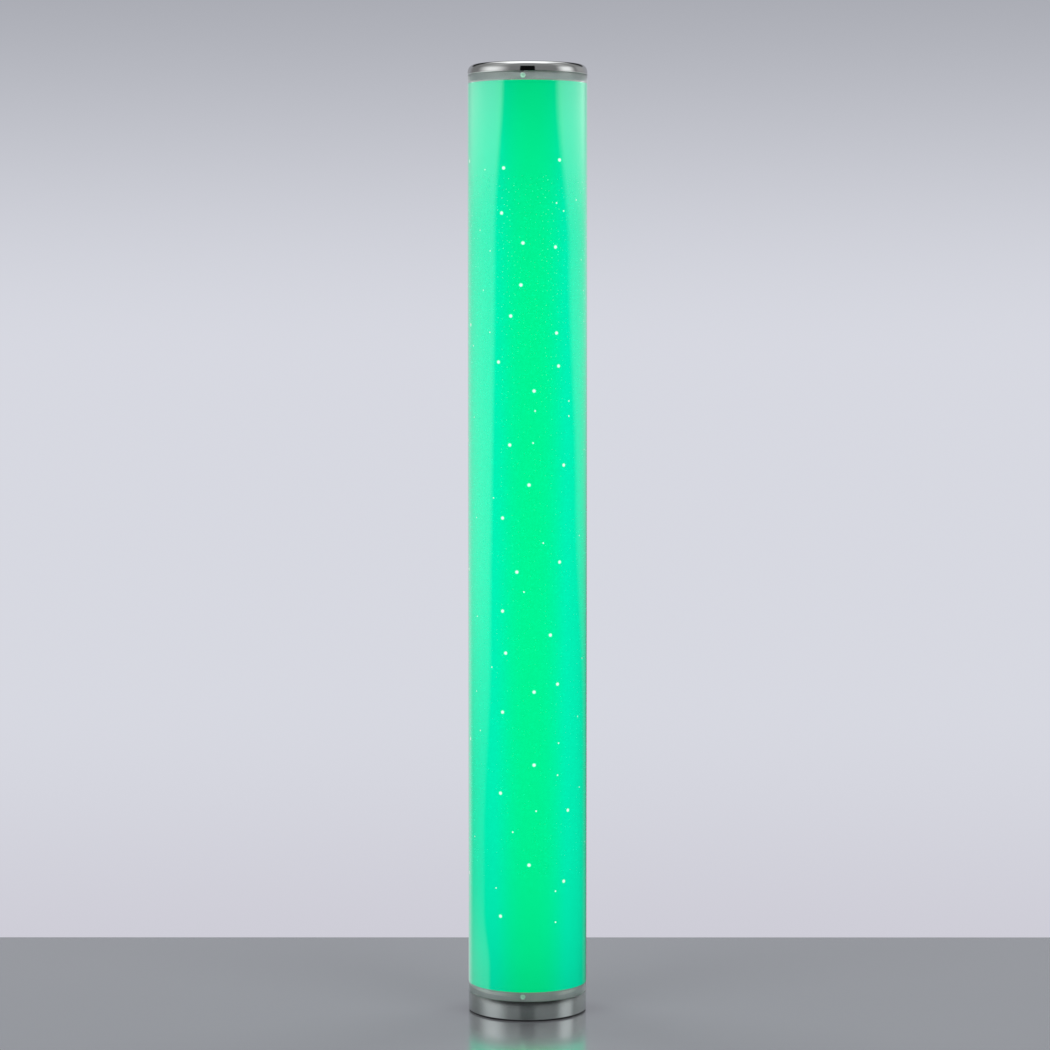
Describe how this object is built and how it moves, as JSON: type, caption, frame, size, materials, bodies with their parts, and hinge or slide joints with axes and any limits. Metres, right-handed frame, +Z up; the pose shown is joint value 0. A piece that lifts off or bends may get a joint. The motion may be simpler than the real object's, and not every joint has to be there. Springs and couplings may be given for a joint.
{
  "type": "starlight column floor lamp",
  "caption": "Upright column floor lamp: clear acrylic tube over a green-lit star film and LED core, grey collars, weighted metal base and domed metal cap.",
  "frame": {"origin": "centre of the footprint on the floor, on the tube's axis", "axes": "+Z up along the tube's axis, -Y the front with a tube screw at its middle, +Y the back with the cable gland"},
  "size_m": [0.15, 0.1518, 1.195],
  "materials": {
    "foot_foam": "matte foam rubber",
    "zinc_plate": "bright zinc plated sheet",
    "nickel_shell": "satin polished nickel",
    "cast_ballast": "black primer on cast iron",
    "zinc_screw": "bright zinc",
    "black_rubber": "moulded rubber",
    "grey_collar": "moulded, fine satin",
    "clear_screw": "natural nylon",
    "clear_acrylic": "clear, polished",
    "star_film": "opal film, lit green from inside",
    "clear_tape": "clear tape",
    "extruded_aluminium": "mill finish extrusion",
    "white_strip": "white solder mask",
    "led_package": "white package with a clear window",
    "lead_black": "smooth insulation",
    "lead_red": "smooth insulation",
    "lead_grey": "smooth jacket",
    "zinc_chassis": "zinc plated sheet",
    "terminal_nylon": "natural nylon",
    "driver_white": "fine texture",
    "standoff_nylon": "natural nylon",
    "board_green": "solder mask",
    "eye_black": "dark filter resin",
    "polished_cap": "mirror polished"
  },
  "bodies": {
    "root": {"foot_ring": "foot_foam", "bottom_plate": "zinc_plate", "bottom_plate_screws": "zinc_screw", "base_shell": "nickel_shell", "ballast_weight": "cast_ballast", "base_bolts": "zinc_screw", "base_nuts": "zinc_screw", "cable_gland": "black_rubber", "lower_collar": "grey_collar", "lower_tube_screws": "clear_screw", "outer_tube": "clear_acrylic", "star_film": "star_film", "film_seam_tape": "clear_tape", "core_profile": "extruded_aluminium", "core_screws": "zinc_screw", "led_strips": "white_strip", "led_chips": "led_package", "strip_jumpers": "lead_red", "chassis_plate": "zinc_chassis", "chassis_screws": "zinc_screw", "terminal_block": "terminal_nylon", "supply_leads": "lead_black", "driver_case": "driver_white", "driver_screws": "zinc_screw", "board_standoffs": "standoff_nylon", "controller_board": "board_green", "output_leads": "lead_red", "strip_feed_lead": "lead_grey", "remote_eye": "eye_black", "eye_lead": "lead_black", "upper_collar": "grey_collar", "upper_tube_screws": "clear_screw", "top_cap": "polished_cap", "cap_nuts": "zinc_screw"}
  },
  "joints": []
}
